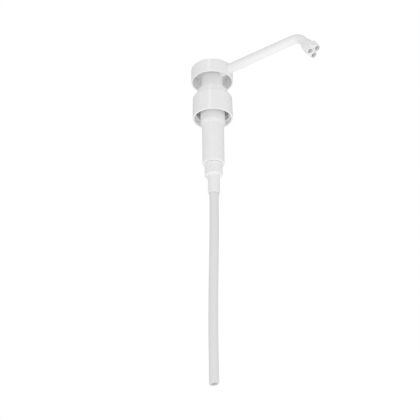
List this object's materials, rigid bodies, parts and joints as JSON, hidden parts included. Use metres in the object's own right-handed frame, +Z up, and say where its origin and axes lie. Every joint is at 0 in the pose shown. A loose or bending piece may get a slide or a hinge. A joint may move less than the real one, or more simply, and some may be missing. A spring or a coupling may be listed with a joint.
{
  "type": "condiment pump dispenser",
  "caption": "Tall sauce pump: wide push-down head, long bent spout with a three-hole nozzle, captive screw cap, pump body, foot valve and a translucent dip tube.",
  "frame": {"origin": "on the pump's axis, at the plane where the container's rim meets the neck gasket", "axes": "+Z up along the pump's axis, +X the way the spout points at rest, +Y to its left"},
  "size_m": [0.1535, 0.0456, 0.3604],
  "materials": {
    "white_gloss_plastic": "smooth white moulded polypropylene",
    "white_satin_plastic": "satin white moulded polypropylene",
    "milky_tube_plastic": "milky, slightly see-through extruded polyethylene",
    "soft_seal_plastic": "soft natural polyethylene",
    "gasket_foam": "closed-cell polyethylene foam",
    "stainless_steel": "bright drawn stainless steel"
  },
  "bodies": {
    "pump": {"pump_body": "white_satin_plastic", "neck_gasket": "gasket_foam", "lock_collar": "white_gloss_plastic", "stem_guide": "white_satin_plastic", "stem_wiper": "soft_seal_plastic", "return_spring": "stainless_steel", "foot_valve_housing": "white_satin_plastic", "foot_ball_cage": "white_satin_plastic", "foot_seal_ring": "soft_seal_plastic", "dip_tube": "milky_tube_plastic"},
    "cap": {"screw_cap": "white_gloss_plastic"},
    "plunger": {"plunger_stem": "white_satin_plastic", "piston_seal": "soft_seal_plastic", "discharge_valve_seat": "white_satin_plastic"},
    "head": {"head_with_spout": "white_gloss_plastic", "three_hole_nozzle": "white_gloss_plastic"},
    "upper_ball": {"discharge_ball": "stainless_steel"},
    "lower_ball": {"foot_ball": "stainless_steel"}
  },
  "joints": [
    {"name": "pump_stroke", "type": "slide", "parent": "pump", "child": "plunger", "axis": [0, 0, 1], "range_m": [-0.015, 0], "stiffness_N_per_m": 400, "springref_m": 0.02, "deforming": ["return_spring"]},
    {"name": "spout_swivel", "type": "hinge", "parent": "plunger", "child": "head", "pos_m": [0, 0, 0.0343], "axis": [0, 0, 1], "continuous": true},
    {"name": "cap_spin", "type": "hinge", "parent": "pump", "child": "cap", "pos_m": [0, 0, 0], "axis": [0, 0, 1], "continuous": true},
    {"name": "discharge_ball_lift", "type": "slide", "parent": "plunger", "child": "upper_ball", "axis": [0, 0, 1], "range_m": [0, 0.002]},
    {"name": "foot_ball_lift", "type": "slide", "parent": "pump", "child": "lower_ball", "axis": [0, 0, 1], "range_m": [0, 0.002]}
  ]
}
